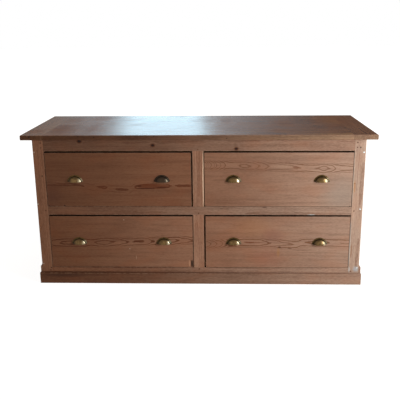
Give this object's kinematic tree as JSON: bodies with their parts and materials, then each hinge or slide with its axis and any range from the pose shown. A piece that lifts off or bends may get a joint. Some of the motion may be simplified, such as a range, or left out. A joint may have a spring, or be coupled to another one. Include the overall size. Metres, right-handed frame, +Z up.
{
  "type": "seed storage cabinet",
  "caption": "Floor-standing pine cabinet: wide inset drawers in a pegged face frame, an overhanging plank top, a low plinth and hollow brass cup pulls.",
  "frame": {"origin": "on the floor under the middle of the top board's outline", "axes": "+X to the right seen from the front, +Y from the front to the back, +Z up; the drawers open along -Y"},
  "size_m": [1.96, 0.6, 0.89],
  "materials": {
    "back_board_1": "bare old pine",
    "back_board_2": "bare old pine",
    "back_board_3": "bare old pine",
    "back_board_4": "bare old pine",
    "drawer_lower_left_back": "bare old pine",
    "drawer_lower_left_bottom": "bare old pine",
    "drawer_lower_left_cup_pulls": "aged, hand-polished brass",
    "drawer_lower_left_front": "stripped and waxed old pine",
    "drawer_lower_left_side_left": "bare old pine",
    "drawer_lower_left_side_right": "bare old pine",
    "drawer_lower_right_back": "bare old pine",
    "drawer_lower_right_bottom": "bare old pine",
    "drawer_lower_right_cup_pulls": "aged, hand-polished brass",
    "drawer_lower_right_front": "stripped and waxed old pine",
    "drawer_lower_right_side_left": "bare old pine",
    "drawer_lower_right_side_right": "bare old pine",
    "drawer_stops": "bare old pine",
    "drawer_upper_left_back": "bare old pine",
    "drawer_upper_left_bottom": "bare old pine",
    "drawer_upper_left_cup_pulls": "aged, hand-polished brass",
    "drawer_upper_left_front": "stripped and waxed old pine",
    "drawer_upper_left_side_left": "bare old pine",
    "drawer_upper_left_side_right": "bare old pine",
    "drawer_upper_right_back": "bare old pine",
    "drawer_upper_right_bottom": "bare old pine",
    "drawer_upper_right_cup_pulls": "aged, hand-polished brass",
    "drawer_upper_right_front": "stripped and waxed old pine",
    "drawer_upper_right_side_left": "bare old pine",
    "drawer_upper_right_side_right": "bare old pine",
    "frame_pegs": "darkened hardwood pegs",
    "kickers": "bare old pine",
    "muntin_lower": "stripped and waxed old pine",
    "muntin_upper": "stripped and waxed old pine",
    "partition": "bare old pine",
    "plinth_front": "stripped and waxed old pine",
    "plinth_left": "stripped and waxed old pine",
    "plinth_right": "stripped and waxed old pine",
    "rail_bottom": "stripped and waxed old pine",
    "rail_mid": "stripped and waxed old pine",
    "rail_top": "stripped and waxed old pine",
    "runners_lower": "bare old pine",
    "runners_upper": "bare old pine",
    "side_left_back_board": "stripped and waxed old pine",
    "side_left_front_board": "stripped and waxed old pine",
    "side_right_back_board": "stripped and waxed old pine",
    "side_right_front_board": "stripped and waxed old pine",
    "stile_left": "stripped and waxed old pine",
    "stile_right": "stripped and waxed old pine",
    "top_back_board": "waxed pine, worn and dark",
    "top_end_left": "waxed pine, worn and dark",
    "top_end_right": "waxed pine, worn and dark",
    "top_front_board": "waxed pine, worn and dark"
  },
  "bodies": {
    "carcass": {"back_board_1": "back_board_1", "back_board_2": "back_board_2", "back_board_3": "back_board_3", "back_board_4": "back_board_4", "drawer_stops": "drawer_stops", "frame_pegs": "frame_pegs", "kickers": "kickers", "muntin_lower": "muntin_lower", "muntin_upper": "muntin_upper", "partition": "partition", "plinth_front": "plinth_front", "plinth_left": "plinth_left", "plinth_right": "plinth_right", "rail_bottom": "rail_bottom", "rail_mid": "rail_mid", "rail_top": "rail_top", "runners_lower": "runners_lower", "runners_upper": "runners_upper", "side_left_back_board": "side_left_back_board", "side_left_front_board": "side_left_front_board", "side_right_back_board": "side_right_back_board", "side_right_front_board": "side_right_front_board", "stile_left": "stile_left", "stile_right": "stile_right", "top_back_board": "top_back_board", "top_end_left": "top_end_left", "top_end_right": "top_end_right", "top_front_board": "top_front_board"},
    "drawer_upper_left": {"drawer_upper_left_back": "drawer_upper_left_back", "drawer_upper_left_bottom": "drawer_upper_left_bottom", "drawer_upper_left_cup_pulls": "drawer_upper_left_cup_pulls", "drawer_upper_left_front": "drawer_upper_left_front", "drawer_upper_left_side_left": "drawer_upper_left_side_left", "drawer_upper_left_side_right": "drawer_upper_left_side_right"},
    "drawer_upper_right": {"drawer_upper_right_back": "drawer_upper_right_back", "drawer_upper_right_bottom": "drawer_upper_right_bottom", "drawer_upper_right_cup_pulls": "drawer_upper_right_cup_pulls", "drawer_upper_right_front": "drawer_upper_right_front", "drawer_upper_right_side_left": "drawer_upper_right_side_left", "drawer_upper_right_side_right": "drawer_upper_right_side_right"},
    "drawer_lower_left": {"drawer_lower_left_back": "drawer_lower_left_back", "drawer_lower_left_bottom": "drawer_lower_left_bottom", "drawer_lower_left_cup_pulls": "drawer_lower_left_cup_pulls", "drawer_lower_left_front": "drawer_lower_left_front", "drawer_lower_left_side_left": "drawer_lower_left_side_left", "drawer_lower_left_side_right": "drawer_lower_left_side_right"},
    "drawer_lower_right": {"drawer_lower_right_back": "drawer_lower_right_back", "drawer_lower_right_bottom": "drawer_lower_right_bottom", "drawer_lower_right_cup_pulls": "drawer_lower_right_cup_pulls", "drawer_lower_right_front": "drawer_lower_right_front", "drawer_lower_right_side_left": "drawer_lower_right_side_left", "drawer_lower_right_side_right": "drawer_lower_right_side_right"}
  },
  "joints": [
    {"name": "drawer_upper_left_slide", "type": "slide", "parent": "carcass", "child": "drawer_upper_left", "axis": [0, -1, 0], "range_m": [0, 0.42]},
    {"name": "drawer_upper_right_slide", "type": "slide", "parent": "carcass", "child": "drawer_upper_right", "axis": [0, -1, 0], "range_m": [0, 0.42]},
    {"name": "drawer_lower_left_slide", "type": "slide", "parent": "carcass", "child": "drawer_lower_left", "axis": [0, -1, 0], "range_m": [0, 0.42]},
    {"name": "drawer_lower_right_slide", "type": "slide", "parent": "carcass", "child": "drawer_lower_right", "axis": [0, -1, 0], "range_m": [0, 0.42]}
  ]
}
